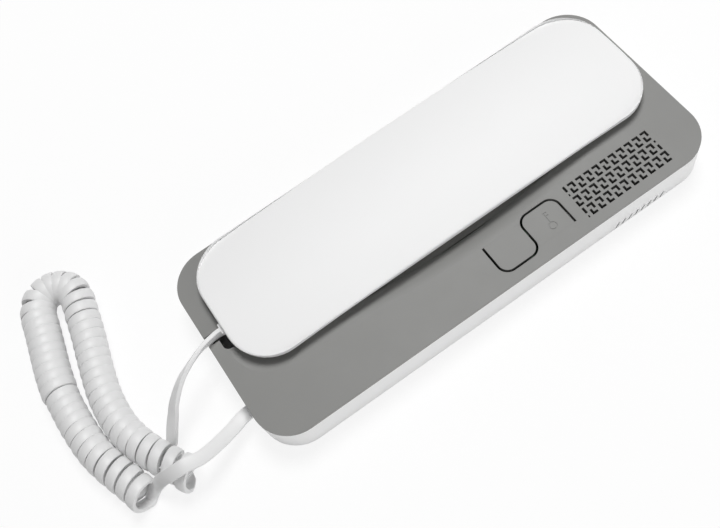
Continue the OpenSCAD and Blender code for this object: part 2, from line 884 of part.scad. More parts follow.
module handset_front_shell() {
    color("white") difference() {
        union() {
            difference() {
                intersection() {
                    between(rim_z, crown_z + over) handset_outline();
                    crown(0);
                }
                intersection() {
                    between(rim_z - over, crown_z) handset_outline(front_t);
                    crown(front_t);
                }
            }
            seam_places() translate([0, 0, seam_z])
                cylinder(h = crown_z - front_t + seam_bite - seam_z, r = seam_r);
        }
        seam_places() translate([0, 0, seam_z - over])
            cylinder(h = rim_top - seam_z, r = small_screw_r + screw_play);
        block(hand_plug_x - notch_side, hand_plug_x + notch_side, cord_end_y - over, cord_end_y + rim_over,
              rim_z - over, hand_plug_z + notch_side + bite);
    }
}

module ear_holes() {
    hole_r = 0.9;
    ring_r = 4;
    translate([handset_x, ear_y, ear_z - over]) {
        cylinder(h = back_t + 2 * over, r = hole_r);
        for (a = [0 : 60 : 300])
            rotate(a) translate([ring_r, 0]) cylinder(h = back_t + 2 * over, r = hole_r);
    }
}

module mouth_holes() {
    hole_r = 0.8;
    ring_r = 2;
    translate([handset_x, mouth_y, mouth_z - over])
        for (a = [0 : 120 : 240])
            rotate(a) translate([ring_r, 0]) cylinder(h = back_t + 2 * over, r = hole_r);
}

module handset_back_shell() {
    color("whitesmoke") difference() {
        union() {
            difference() {
                union() {
                    intersection() {
                        union() {
                            between(grip_z, rim_z + flange_h) handset_outline(rim_over);
                            between(rim_z, rim_z + flange_h) handset_outline(flange_inset);
                        }
                        crown(front_t + crown_gap);
                    }
                    post([handset_x, ear_y], ear_r, ear_z, hand_floor);
                    post([handset_x, mouth_y], mouth_r, mouth_z, hand_floor);
                }
                between(hand_floor, rim_z + flange_h + over) handset_outline(rim_over + back_t);
                post([handset_x, ear_y], ear_r - back_t, ear_z + back_t, hand_floor + over);
                post([handset_x, mouth_y], mouth_r - back_t, mouth_z + back_t, hand_floor + over);
            }
            seam_places() translate([0, 0, grip_z + bite]) cylinder(h = seam_z - grip_z - bite, r = seam_r);
        }
        seam_places() {
            translate([0, 0, grip_z - over])
                cylinder(h = seam_head_z - grip_z + over, r = small_head_r + fit_gap);
            translate([0, 0, grip_z]) cylinder(h = seam_z, r = small_screw_r + screw_play);
        }
        ear_holes();
        mouth_holes();
        block(hand_plug_x - plug_w / 2 - jack_play, hand_plug_x + plug_w / 2 + jack_play,
              cord_end_y - over, hand_jack_y + over,
              hand_plug_z - plug_h / 2 - jack_play, hand_plug_z + plug_h / 2 + 2 * over);
    }
}

module receiver_case() {
    color("black") translate([handset_x, ear_y, receiver_z]) difference() {
        cylinder(h = receiver_h, r = receiver_r);
        translate([0, 0, -over]) cylinder(h = over + receiver_step, r = receiver_r - receiver_rim);
        translate([0, 0, -over])
            cylinder(h = over + receiver_h - receiver_roof, r = receiver_r - 3 * receiver_rim);
    }
}

module receiver_diaphragm() {
    film_t = 0.5;
    color("lightgray") translate([handset_x, ear_y, receiver_z + receiver_step - film_t])
        cylinder(h = film_t, r = receiver_r - receiver_rim - fit_gap);
}

module receiver_magnet() {
    block_h = 3.6;
    top = receiver_z + receiver_h - receiver_roof;
    color("slategray") post([handset_x, ear_y], receiver_r / 2, top - block_h, top);
}

module receiver_seal() {
    seal_w = 4;
    color("dimgray") difference() {
        post([handset_x, ear_y], receiver_r, ear_z + back_t, receiver_z);
        post([handset_x, ear_y], receiver_r - seal_w, ear_z + back_t - over, receiver_z + over);
    }
}

module microphone_boot() {
    z = mouth_z + back_t;
    ledge = 1.5;
    color("dimgray") difference() {
        post([handset_x, mouth_y], boot_r, z, z + boot_h);
        post([handset_x, mouth_y], mic_r + mic_play, z + mic_sink, z + boot_h + over);
        post([handset_x, mouth_y], mic_r - ledge, z - over, z + mic_sink + over);
    }
}

module microphone() {
    z = mouth_z + back_t + mic_sink;
    color("silver") post([handset_x, mouth_y], mic_r, z, z + mic_h);
}

module handset_jack() {
    color("black") jack(hand_plug_x, hand_jack_y, hand_plug_z, hand_jack_len, hand_floor,
                        hand_plug_z + plug_h / 2 + jack_play + jack_skin);
}

module handset_plug() {
    color("lightcyan") plug(hand_plug_x, hand_plug_y, hand_plug_z);
}

module handset_screws() {
    seam_tip = 2;
    color("silver") seam_places() {
        translate([0, 0, seam_head_z - small_head_h]) cylinder(h = small_head_h, r = small_head_r);
        translate([0, 0, seam_head_z - bite])
            cylinder(h = rim_top - seam_head_z - seam_tip, r = small_screw_r);
    }
}

// Wire along Y from the back of the jack to the side of a round piece
module wire(x, z, centre_y, r) {
    end_gap = 0.05;
    jack_end = hand_jack_y + hand_jack_len;
    dx = abs(x - handset_x) - wire_r;
    near_y = centre_y - sqrt(r * r - dx * dx);
    rod_y([x, jack_end, z], wire_r, near_y - jack_end - end_gap);
}

module receiver_wires() {
    color("crimson") for (x = [2, 4]) wire(hand_plug_x + x, hand_plug_z, ear_y, receiver_r);
}

module microphone_wires() {
    boot_top = mouth_z + back_t + boot_h;
    color("gold") for (x = [-4, -2]) wire(hand_plug_x + x, boot_top - 1, mouth_y, boot_r);
}

// Cord pieces

function unit(v) = v / norm(v);

// Points of the coil's axis, smoothed between the route's own points
function smooth(p0, p1, p2, p3, t) = 0.5 * (2 * p1 + (p2 - p0) * t + (2 * p0 - 5 * p1 + 4 * p2 - p3) * t * t
                                            + (3 * p1 - p0 - 3 * p2 + p3) * t * t * t);
route_last = len(coil_route) - 1;
route_steps = 8;
cord_end = [0, -base_len / 2];
axis_points = [for (i = [0 : route_last - 1], j = [0 : route_steps - 1])
               cord_end + smooth(coil_route[max(i - 1, 0)], coil_route[i], coil_route[i + 1],
                                 coil_route[min(i + 2, route_last)], j / route_steps),
               cord_end + coil_route[route_last]];
axis_last = len(axis_points) - 1;
function step_length(i) = i < axis_last ? norm(axis_points[i + 1] - axis_points[i]) : 0;
function run_lengths(i, total) = i > axis_last ? [] :
    concat([total], run_lengths(i + 1, total + step_length(i)));
axis_runs = run_lengths(0, 0);
axis_len = axis_runs[axis_last];
x_table = [for (i = [0 : axis_last]) [axis_runs[i], axis_points[i][0]]];
y_table = [for (i = [0 : axis_last]) [axis_runs[i], axis_points[i][1]]];
function axis_at(s) = [lookup(s, x_table), lookup(s, y_table)];
function heading(s) = unit(axis_at(min(s + 2, axis_len)) - axis_at(max(s - 2, 0)));

// One ring of the curls: its centre, the way out from the axis, and the way along the axis.
// On the inner side of a bend the ring is pulled in and tipped on its edge, so that the turns stay apart.
curl_rings = 8;
ring_count = round(curls * curl_rings);
function along(c) = lookup(c, curl_table) * axis_len / curl_table[len(curl_table) - 1][1];
function ring_frame(c) =
    let (s = along(c), a = axis_at(s), t = heading(s), turn = first_turn + 360 * c,
         side = [-t[1], t[0], 0] * cos(turn), up = [0, 0, sin(turn)], ahead = [t[0], t[1], 0],
         bend = lookup(c, bend_table), inner = max(0, -cos(turn)), tip = bend_tip * bend * inner,
         d = curl_d + lookup(c, swell_table), r = (d - cord_t) / 2,
         pull = inner > 0 ? 1 - bend_pull * bend : 1, out = side + up)
    [[a[0], a[1], d / 2 + floor_air] + (side * pull + up) * r,
     out * cos(tip) + ahead * sin(tip), ahead * cos(tip) - out * sin(tip)];
floor_air = 0.1;
// Flat section of the cord, as shares of its half thickness and half width
flat_w = 0.55;
function ring_points(f) = [for (q = [[0, 1], [1, flat_w], [1, -flat_w], [0, -1], [-1, -flat_w], [-1, flat_w]])
                           f[0] + f[1] * q[0] * cord_t / 2 + f[2] * q[1] * cord_w / 2];
curl_frames = [for (i = [0 : ring_count]) ring_frame(i * curls / ring_count)];
curl_ends = len(curl_frames) - 1;
first_way = cross(curl_frames[0][1], curl_frames[0][2]);
last_way = cross(curl_frames[curl_ends][2], curl_frames[curl_ends][1]);
function led(f, way) = [f[0] + way * lead, f[1], f[2]];
cord_frames = concat([led(curl_frames[0], first_way)], curl_frames, [led(curl_frames[curl_ends], last_way)]);
cord_rings = [for (f = cord_frames) ring_points(f)];

// Skin of a tube through rings of points, as triangles
module skin(rings) {
    sides = len(rings[0]);
    last = len(rings) - 1;
    points = [for (ring = rings, p = ring) p];
    walls = [for (i = [0 : last - 1], j = [0 : sides - 1], half = [0, 1])
             let (a = i * sides + j, b = i * sides + (j + 1) % sides)
             half == 0 ? [a, b, a + sides] : [b, b + sides, a + sides]];
    caps = [for (j = [1 : sides - 2], end = [0, 1])
            end == 0 ? [0, j + 1, j] : [last * sides, last * sides + j, last * sides + j + 1]];
    polyhedron(points = points, faces = concat(walls, caps), convexity = 10);
}

module curly_cord() {
    color("whitesmoke") skin(cord_rings);
}

// Round tube along a route, which it enters along the coil's lead
module tail(route, way) {
    sides = 8;
    last = len(route) - 1;
    rings = [for (i = [0 : last])
             let (t = i == 0 ? way : i == last ? [0, 1, 0] : unit(route[i + 1] - route[i - 1]),
                  u = unit(cross(t, [1, 0, 0])), v = cross(t, u))
             [for (j = [0 : sides - 1]) let (a = j * 360 / sides)
              route[i] + (u * cos(a) + v * sin(a)) * tail_d / 2]];
    skin(rings);
}

// Route from the end of the coil's lead to a plug's back
function tail_route(start, rise, run, plug_at) =
    concat([for (p = rise) start + p], [for (p = run) plug_at + p]);

module base_tail() {
    color("whitesmoke") tail(tail_route(cord_frames[0][0], base_rise, base_run,
                                        [base_plug_x, base_plug_y, base_plug_z]), first_way);
}

module handset_tail() {
    color("whitesmoke") tail(tail_route(cord_frames[curl_ends + 2][0], handset_rise, handset_run,
                                        [hand_plug_x, hand_plug_y, hand_plug_z]), last_way);
}

// Return spring under the hook plunger
module hook_spring() {
    rings = 12;
    low = floor_t + spring_air + spring_wire / 2;
    high = hook_foot - spring_air - spring_wire / 2;
    count = spring_turns * rings;
    frames = [for (i = [0 : count]) let (a = 360 * i / rings)
              [[hook_x + spring_r * cos(a), hook_y + spring_r * sin(a), low + (high - low) * i / count],
               [cos(a), sin(a), 0]]];
    color("silver") skin([for (f = frames) [for (j = [0 : 5])
        f[0] + f[1] * cos(60 * j) * spring_wire / 2 + [0, 0, 1] * sin(60 * j) * spring_wire / 2]]);
}

// Least gap between neighbouring turns and between the two legs, measured on the rings' points
function gap(i, j) = min([for (p = cord_rings[i], q = cord_rings[j]) norm(p - q)]);
turn_gap = min([for (i = [1 : curl_ends - curl_rings], k = [curl_rings - 1 : curl_rings + 1])
                if (i + k <= curl_ends + 1) gap(i, i + k)]);
mid_ring = floor(curl_ends / 2);
leg_gap = min([for (i = [1 : 4 : mid_ring - 5 * curl_rings], j = [mid_ring + 5 * curl_rings : curl_ends])
               norm(curl_frames[i][0] - curl_frames[j][0])]) - norm([cord_w, cord_t]);
echo(axis_length = axis_len, turn_gap = turn_gap, leg_gap = leg_gap, start = curl_frames[0][0],  // curly_cord
         end = curl_frames[curl_ends][0]);

back_shell();
front_cover();
door_button();
aux_button();
main_board();
terminal_block();
terminal_screws();
controller_chip();
address_switch();
capacitors();
door_switch();
aux_switch();
door_plunger();
aux_plunger();
hook_plunger();
hook_spring();
hook_switch();
speaker_frame();
speaker_cone();
speaker_magnet();
speaker_gasket();
base_jack();
board_screws();
cover_screws();
handset_front_shell();
handset_back_shell();
receiver_case();
receiver_diaphragm();
receiver_magnet();
receiver_seal();
microphone();
microphone_boot();
handset_jack();
handset_screws();
receiver_wires();
microphone_wires();
handset_plug();
handset_tail();
curly_cord();
base_tail();
base_plug();
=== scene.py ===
# %% [markdown]
# # A wall intercom station with its handset and curly cord
#
# The station lies on its back on a white table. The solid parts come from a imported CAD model, so
# each piece is already at its real size and place. This script adds what CAD leaves out: finishes,
# the cord as one flat cable, the soft edge of the handset, detailed screws, light and a camera.
# Lengths are written in millimetres and are multiplied by MM for Blender, which counts in metres.

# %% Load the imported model
import math

import bmesh
import bpy
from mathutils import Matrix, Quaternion, Vector


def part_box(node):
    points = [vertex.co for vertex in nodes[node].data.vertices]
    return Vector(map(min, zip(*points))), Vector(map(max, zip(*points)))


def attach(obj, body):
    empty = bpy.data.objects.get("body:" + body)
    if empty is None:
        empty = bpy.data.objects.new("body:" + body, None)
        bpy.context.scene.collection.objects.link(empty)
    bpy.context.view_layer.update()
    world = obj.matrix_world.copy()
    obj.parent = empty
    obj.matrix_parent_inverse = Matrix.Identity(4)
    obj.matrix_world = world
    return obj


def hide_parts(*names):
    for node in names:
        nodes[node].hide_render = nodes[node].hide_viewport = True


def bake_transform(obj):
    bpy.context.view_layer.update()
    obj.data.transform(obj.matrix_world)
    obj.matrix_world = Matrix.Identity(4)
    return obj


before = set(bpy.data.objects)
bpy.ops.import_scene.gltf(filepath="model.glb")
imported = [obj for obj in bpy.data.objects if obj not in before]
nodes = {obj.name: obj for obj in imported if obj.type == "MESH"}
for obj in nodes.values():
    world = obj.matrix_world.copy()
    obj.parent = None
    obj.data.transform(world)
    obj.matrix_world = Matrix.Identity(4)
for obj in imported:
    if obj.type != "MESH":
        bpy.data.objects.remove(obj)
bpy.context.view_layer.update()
MM = 0.001

# %% [markdown]
# ## Camera
#
# The photograph was taken from above the button side, with the station lying aslant in the picture.
# A camera can be turned by three angles, but it is easier to picture by where it stands, the point
# it looks at, and how far it leans to one side. These values and the lens come from one fit to the
# outline of the base, so no shift is needed.

# %% Stand the camera where the photographer stood
EYE = Vector((160.4, -76.7, 350.6)) * MM
AIM = Vector((-7.05, -35.62, 0.0)) * MM
LEAN = math.radians(-22.06)
FILM_W, FOCAL_LENGTH = 36.0, 46.89
NEAREST_SEEN = 10 * MM


def add_object(name, data):
    """A new object in the scene, at the origin."""
    made = bpy.data.objects.new(name, data)
    bpy.context.scene.collection.objects.link(made)
    return made


camera_data = bpy.data.cameras.new("photo_camera")
camera_data.sensor_width = FILM_W
camera_data.lens = FOCAL_LENGTH
camera_data.clip_start = NEAREST_SEEN
camera = add_object("photo_camera", camera_data)
camera.location = EYE
camera.rotation_mode = "QUATERNION"
camera.rotation_quaternion = (AIM - EYE).to_track_quat("-Z", "Y") @ Quaternion((0, 0, 1), LEAN)
bpy.context.scene.camera = camera
print("camera stands", round((AIM - EYE).length, 3), "m from the point that it looks at")

# %% [markdown]
# ## Finishes
#
# Moulded plastic is never one flat colour. Seen close, it has a fine grain from the mould, its tone
# drifts a little over a hand's width, and its gloss is uneven. A picture of plastic could be laid
# over each piece, but that needs unwrapping and shows its seams. Noise in the piece's own
# coordinates fits any shape, so it is used here. One shader group makes all three effects, and each
# plastic places that group with its own values.

# %% Helpers for node trees
NUMBER, SHADE = "NodeSocketFloat", "NodeSocketColor"
SHAPE, FINISH = "NodeSocketGeometry", "NodeSocketMaterial"


def new_tree(name, kind, inputs, outputs):
    """A node group with named sockets: (name, socket type, default) in, (name, socket type) out.

    Gives back the tree, the outputs of its input node and the inputs of its output node.
    """
    tree = bpy.data.node_groups.new(name, kind)
    for title, socket, value in inputs:
        made = tree.interface.new_socket(title, in_out="INPUT", socket_type=socket)
        if value is not None:
            made.default_value = value
    for title, socket in outputs:
        tree.interface.new_socket(title, in_out="OUTPUT", socket_type=socket)
    return tree, tree.nodes.new("NodeGroupInput").outputs, tree.nodes.new("NodeGroupOutput").inputs


def feed(tree, socket, value):
    """Links the output of another node to a socket, or sets the socket to a plain value."""
    if isinstance(value, bpy.types.NodeSocket):
        tree.links.new(value, socket)
    else:
        socket.default_value = value


def add_node(tree, kind, **inputs):
    """A new node with its inputs fed by name. An underscore stands for a space."""
    node = tree.nodes.new(kind)
    for title, value in inputs.items():
        feed(tree, node.inputs[title.replace("_", " ")], value)
    return node


def math_chain(tree):
    """A function that adds a Math node to the tree and gives back its result."""
    def do(operation, *values):
        node = tree.nodes.new("ShaderNodeMath")
        node.operation = operation
        for socket, value in zip(node.inputs, values):
            feed(tree, socket, value)
        return node.outputs[0]
    return do


# %% Helpers for patterns on a surface


def noise(tree, coordinates, scale, detail):
    """A noise pattern of 0 to 1. The scale is in bumps a metre."""
    pattern = add_node(tree, "ShaderNodeTexNoise", Vector=coordinates, Scale=scale, Detail=detail)
    return pattern.outputs[0]


def varied(tree, value, pattern, amount):
    """The value, raised and lowered by a pattern of 0 to 1, by up to half the amount."""
    do = math_chain(tree)
    return do("ADD", value, do("MULTIPLY", do("SUBTRACT", pattern, 0.5), amount))


def tinted(tree, shade, pattern, amount):
    """The shade, made lighter and darker by a pattern of 0 to 1, by up to half the amount."""
    tint = tree.nodes.new("ShaderNodeVectorMath")
    tint.operation = "SCALE"
    feed(tree, tint.inputs[0], shade)
    feed(tree, tint.inputs["Scale"], varied(tree, 1.0, pattern, amount))
    return tint.outputs[0]


# %% Shader group for moulded plastic
TONE_SCALE, SMEAR_SCALE = 28.0, 90.0
FEW, MORE = 3.0, 4.0  # detail of a noise: how many times finer noise is added to it
moulded, given, made = new_tree(
    "moulded_plastic", "ShaderNodeTree",
    [("Colour", SHADE, (0.8, 0.8, 0.8, 1.0)), ("Tone drift", NUMBER, 0.03),
     ("Roughness", NUMBER, 0.5), ("Roughness drift", NUMBER, 0.08), ("Grains a metre", NUMBER, 3000.0)],
    [("Colour", SHADE), ("Roughness", NUMBER), ("Relief", NUMBER)])
where = moulded.nodes.new("ShaderNodeTexCoord").outputs["Object"]
tone = noise(moulded, where, TONE_SCALE, FEW)
smear = noise(moulded, where, SMEAR_SCALE, MORE)
grain = noise(moulded, where, given["Grains a metre"], FEW)
feed(moulded, made["Colour"], tinted(moulded, given["Colour"], tone, given["Tone drift"]))
feed(moulded, made["Roughness"], varied(moulded, given["Roughness"], smear, given["Roughness drift"]))
feed(moulded, made["Relief"], grain)
print("moulded_plastic has", len(moulded.nodes), "nodes")

# %% Helpers for materials


def linear(level):
    """A screen's colour level of 0 to 255 as the light that it stands for."""
    level = level / 255
    return level / 12.92 if level <= 0.04045 else ((level + 0.055) / 1.055) ** 2.4


def colour(r, g, b):
    """A screen colour as a shader takes it."""
    return (linear(r), linear(g), linear(b), 1.0)


def new_material(name):
    """A material, its node tree and its main shader."""
    material = bpy.data.materials.new(name)
    material.use_nodes = True
    return material, material.node_tree, material.node_tree.nodes["Principled BSDF"]


def surface(name, group, depth, values):
    """A material and its shader, with colour, roughness and relief from a shader group.

    The depth of the relief is in millimetres.
    """
    material, tree, shader = new_material(name)
    placed = tree.nodes.new("ShaderNodeGroup")
    placed.node_tree = group
    for title, value in values.items():
        placed.inputs[title].default_value = value
    bump = add_node(tree, "ShaderNodeBump", Distance=depth * MM, Height=placed.outputs["Relief"])
    feed(tree, shader.inputs["Base Color"], placed.outputs["Colour"])
    feed(tree, shader.inputs["Roughness"], placed.outputs["Roughness"])
    feed(tree, shader.inputs["Normal"], bump.outputs[0])
    return material, shader


def plastic(name, shade, roughness, depth, grains=3000.0, drift=0.03, coat=0.0):
    """A moulded plastic. Its grain has a depth in millimetres and so many grains a metre."""
    material, shader = surface(name, moulded, depth, {
        "Colour": shade, "Tone drift": drift, "Roughness": roughness, "Grains a metre": grains})
    shader.inputs["Coat Weight"].default_value = coat
    return material


def dress(material, *names):
    """Gives a material to CAD parts, by name."""
    for name in names:
        nodes[name].data.materials.clear()
        nodes[name].data.materials.append(material)
    print(material.name, "is on", ", ".join(names))


# %% [markdown]
# The handset is a smooth satin white. The base's tray is a slightly darker white with more grain, and
# the cover a warm grey with the deepest grain. The cable's jacket is darker and glossier than the
# handset. The handset's front and the cable are made further on, so they get their finish there.

# %% Plastics of the shells, the cover and the cord
handset_white = plastic("handset_white", colour(243, 243, 243), 0.58, 0.006, grains=1500, drift=0.015)
tray_white = plastic("tray_white", colour(240, 240, 240), 0.5, 0.012, grains=2600, drift=0.02)
cover_grey = plastic("cover_grey", colour(132, 132, 130), 0.55, 0.02, grains=2800, drift=0.05)
cord_white = plastic("cord_white", colour(229, 229, 229), 0.46, 0.008, grains=1800, drift=0.04)
dress(handset_white, "handset_back_shell")
dress(tray_white, "back_shell")
dress(cover_grey, "front_cover", "door_button", "aux_button")

# %% [markdown]
# Inside the station are small moulded pieces in plain colours. They show when the handset is off or
# the cover is open, and use the same group with their own values.

# %% Small moulded pieces
dress(plastic("black_moulding", colour(38, 38, 39), 0.5, 0.015, grains=2500),
      "controller_chip", "door_switch", "aux_switch", "hook_switch", "speaker_cone", "base_jack",
      "receiver_case", "handset_jack")
dress(plastic("ivory_moulding", colour(226, 221, 204), 0.42, 0.008),
      "door_plunger", "aux_plunger", "hook_plunger")
dress(plastic("switch_red", colour(170, 40, 38), 0.45, 0.01), "address_switch")
dress(plastic("terminal_green", colour(56, 128, 82), 0.45, 0.012), "terminal_block")
dress(plastic("plug_plastic", colour(214, 219, 221), 0.18, 0.004, coat=0.4), "handset_plug", "base_plug")
dress(plastic("diaphragm_film", colour(196, 196, 190), 0.3, 0.004), "receiver_diaphragm")
dress(plastic("soft_black", colour(30, 30, 31), 0.85, 0.05, grains=1400, drift=0.15),
      "speaker_gasket", "receiver_seal", "microphone_boot")
dress(plastic("wire_red", colour(176, 36, 36), 0.45, 0.006), "receiver_wires")
dress(plastic("wire_yellow", colour(204, 168, 58), 0.45, 0.006), "microphone_wires")
dress(plastic("can_sleeve", colour(46, 50, 66), 0.3, 0.004), "capacitors")

# %% [markdown]
# Zinc-plated steel, pressed metal and magnets share a second group: fine scratches drawn out along
# one direction, and cloudy stains in the plating. The scratches are the same noise as before, seen
# through coordinates that are squeezed across that direction.

# %% Shader group for plated and pressed metal
SCRATCH_SCALE, CLOUD_SCALE = 900.0, 350.0
SQUEEZE = 12.0
SCRATCH_ROUGHNESS = 0.2
plated, given, made = new_tree(
    "plated_metal", "ShaderNodeTree",
    [("Colour", SHADE, (0.6, 0.6, 0.6, 1.0)), ("Roughness", NUMBER, 0.3), ("Stain", NUMBER, 0.1)],
    [("Colour", SHADE), ("Roughness", NUMBER), ("Relief", NUMBER)])
where = plated.nodes.new("ShaderNodeTexCoord").outputs["Object"]
drawn = add_node(plated, "ShaderNodeMapping", Vector=where, Scale=(1.0, SQUEEZE, SQUEEZE)).outputs[0]
scratch = noise(plated, drawn, SCRATCH_SCALE, MORE)
cloud = noise(plated, where, CLOUD_SCALE, FEW)
feed(plated, made["Colour"], tinted(plated, given["Colour"], cloud, given["Stain"]))
feed(plated, made["Roughness"], varied(plated, given["Roughness"], scratch, SCRATCH_ROUGHNESS))
feed(plated, made["Relief"], scratch)
print("plated_metal has", len(plated.nodes), "nodes")

# %% Metal pieces


def metal(name, shade, roughness, stain=0.2, depth=0.004):
    """A metal, with how much its colour is stained and how deep its scratches are, in millimetres."""
    material, shader = surface(name, plated, depth, {
        "Colour": shade, "Roughness": roughness, "Stain": stain})
    shader.inputs["Metallic"].default_value = 1.0
    return material


zinc = metal("zinc_plate", colour(196, 197, 199), 0.28)
dress(zinc, "terminal_screws", "hook_spring")
dress(metal("pressed_steel", colour(128, 128, 130), 0.42), "speaker_frame")
dress(metal("sintered_magnet", colour(92, 92, 95), 0.6, stain=0.4, depth=0.02),
      "speaker_magnet", "receiver_magnet")
dress(metal("capsule_can", colour(205, 206, 208), 0.22), "microphone")

# %% [markdown]
# The circuit board is green lacquer over copper. Its tracks are only a faint lighter pattern, so they
# are not modelled: the mortar lines of a brick texture stand for them.

# %% Circuit board
TRACK_SCALE, TRACK_W = 160.0, 0.06
LACQUER_ROUGHNESS = 0.35
board, tree, shader = new_material("board_lacquer")
tracks = add_node(
    tree, "ShaderNodeTexBrick", Vector=tree.nodes.new("ShaderNodeTexCoord").outputs["Object"],
    Scale=TRACK_SCALE, Mortar_Size=TRACK_W, Color1=colour(24, 86, 50), Color2=colour(20, 78, 46),
    Mortar=colour(62, 128, 78))
feed(tree, shader.inputs["Base Color"], tracks.outputs["Color"])
shader.inputs["Roughness"].default_value = LACQUER_ROUGHNESS
dress(board, "main_board")

# %% [markdown]
# ## The cord's route
#
# A handset cord is one flat cable: a straight end that leaves the base, a long row of curls, and a
# straight end that goes up under the handset. A curve with a bevel could draw it, but a bevel twists
# a flat section as it likes, so each point's directions are worked out here. The curls lie on the
# table in a long hairpin. Their axis is a smooth curve through a few points, and the cable winds
# round it. Where the hairpin turns, the curls fan open on the outside and crowd into a crease on the
# inside, as they do on a real cord.

# %% Route of the curls' axis
AXIS_STEPS = 8
BASE_END = Vector((0.0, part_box("back_shell")[0][1] / MM))
coil_route = [
    (28, -50.6), (20, -53), (13, -55.5), (6, -57.9), (-2, -59.9), (-12, -61), (-22, -61.3),
    (-32, -61), (-42, -59.6), (-52, -57.4), (-62, -55.2), (-69.2, -53.7), (-74.8, -49.9),
    (-76.1, -43.4), (-72.3, -37.8), (-65.8, -36.5), (-57.6, -38), (-48, -39.9), (-38.5, -42.2),
    (-29, -44.4), (-20, -46), (-11, -46.5), (-3, -46), (5, -44), (13, -40.8), (20, -37.2),
    (27, -33.2), (33, -29.6)]


def lookup(value, table):
    """Straight-line reading of a table of (key, result) pairs."""
    for (k0, r0), (k1, r1) in zip(table, table[1:]):
        if value <= k1:
            return r0 + (r1 - r0) * (value - k0) / (k1 - k0)
    return table[-1][1]


def smooth_line(points, steps):
    """A smooth curve through the points, with that many steps between neighbours."""
    line = []
    last = len(points) - 1
    for i in range(last):
        before, here = points[max(i - 1, 0)], points[i]
        after, beyond = points[i + 1], points[min(i + 2, last)]
        for j in range(steps):
            t = j / steps
            line.append(0.5 * (2 * here + (after - before) * t
                               + (2 * before - 5 * here + 4 * after - beyond) * t * t
                               + (3 * here - before - 3 * after + beyond) * t ** 3))
    return line + [points[last]]


def distances(points):
    """How far along its line each point lies, from 0."""
    runs = [0.0]
    for a, b in zip(points, points[1:]):
        runs.append(runs[-1] + (b - a).length)
    return runs


axis = smooth_line([BASE_END + Vector(p) for p in coil_route], AXIS_STEPS)
axis_runs = distances(axis)
AXIS_LENGTH = axis_runs[-1]
axis_x = list(zip(axis_runs, (p.x for p in axis)))
axis_y = list(zip(axis_runs, (p.y for p in axis)))
print("the curls' axis is", round(AXIS_LENGTH, 1), "mm long")

# %% [markdown]
# The curls are counted from the base's end. A table says how far along the axis each count lies, so
# the curls are open at both ends and tight along the legs. Three more tables say how much thicker the
# coil is than CURL_D, how far it is lifted off the table, and how wide the cable is: a soft jacket is
# squeezed where the curls are tight. The cable's last half curl turns back under the coil, which is
# lifted a little there.

# %% Tables of the curls
CURL_D, CORD_T, CORD_W = 13.4, 2.3, 4.6
TIGHT_W = 4.5
FIRST_TURN, LAST_TURN = 285, -50  # angles round the axis where the curls start and end
WHOLE_TURNS = 50
CURLS = WHOLE_TURNS + (LAST_TURN - FIRST_TURN) / 360
AXIS_MARKS = 233  # the marks in curl_table divide the whole axis into this many
curl_table = [
    (0, 2), (4, 25), (8.2, 45), (11.6, 59.5), (12.2, 62.6), (21.4, 101.6), (23, 110), (27.4, 125.5),
    (30.2, 140), (CURLS - 4.86, 202), (CURLS - 2.86, 212.5), (CURLS - 1.61, 220.5),
    (CURLS - 0.61, 227.5), (CURLS - 0.25, 228.6), (CURLS - 0.17, 227.3), (CURLS - 0.09, 222.5),
    (CURLS, 214.5)]
swell_table = [
    (0, 0.6), (9, 0.5), (11.7, 0.5), (12.1, 1.5), (20.5, 1.6), (27, 1), (36, 0.4),
    (CURLS - 0.86, 0.4), (CURLS - 0.4, 1.6), (CURLS, 3)]
lift_table = [
    (0, 0), (CURLS - 3.5, 0), (CURLS - 1.1, 1.2), (CURLS - 0.86, 1.2), (CURLS - 0.4, 0.4), (CURLS, 0)]
width_table = [
    (0, CORD_W), (7, CORD_W), (9, TIGHT_W), (20, TIGHT_W), (22, CORD_W), (26, CORD_W), (30, TIGHT_W),
    (CURLS - 6, TIGHT_W), (CURLS - 5, CORD_W), (CURLS, CORD_W)]
print("curls:", round(CURLS, 2))

# %% Curls round the axis
FLOOR_AIR = 0.1
POINTS_A_CURL = 24
DIRECTION_SPAN = 2
UP = Vector((0, 0, 1))


def axis_at(s):
    """Point of the axis, s millimetres from its start."""
    s = min(max(s, 0.0), AXIS_LENGTH)
    return Vector((lookup(s, axis_x), lookup(s, axis_y), 0.0))


def curl_point(c):
    """Centre, direction of the flat side and width of the cable, c curls from the start."""
    s = lookup(c, curl_table) * AXIS_LENGTH / AXIS_MARKS
    ahead = (axis_at(s + DIRECTION_SPAN) - axis_at(s - DIRECTION_SPAN)).normalized()
    side = Vector((-ahead.y, ahead.x, 0.0))
    turn = math.radians(FIRST_TURN + 360 * c)
    diameter = CURL_D + lookup(c, swell_table)
    out = side * math.cos(turn) + UP * math.sin(turn)
    middle = axis_at(s) + UP * (diameter / 2 + FLOOR_AIR + lookup(c, lift_table))
    centre = middle + out * (diameter - CORD_T) / 2
    return centre, out, lookup(c, width_table)


ring_count = round(CURLS * POINTS_A_CURL)
spots = [curl_point(i * CURLS / ring_count) for i in range(ring_count + 1)]
curls = []
for i, (centre, out, width) in enumerate(spots):
    along = spots[min(i + 1, ring_count)][0] - spots[max(i - 1, 0)][0]
    curls.append((centre, out, out.cross(along).normalized(), width))
print("rings of the curls:", len(curls))

# %% [markdown]
# Each straight end leaves the coil along its last curl and climbs to its plug, through listed points.
# Every point also needs to know which way the flat side faces. That direction is carried along the
# cable without twisting, and the twist that is left at the plug is spread over a chosen part of the
# end.

# %% Straight ends, from the coil to the plugs
LEAD = 1.2
END_STEPS = 5


def plug_back(name):
    """Middle of a plug's back face, where its cable goes in."""
    low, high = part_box(name)
    return Vector(((low[0] + high[0]) / 2, low[1], (low[2] + high[2]) / 2)) / MM


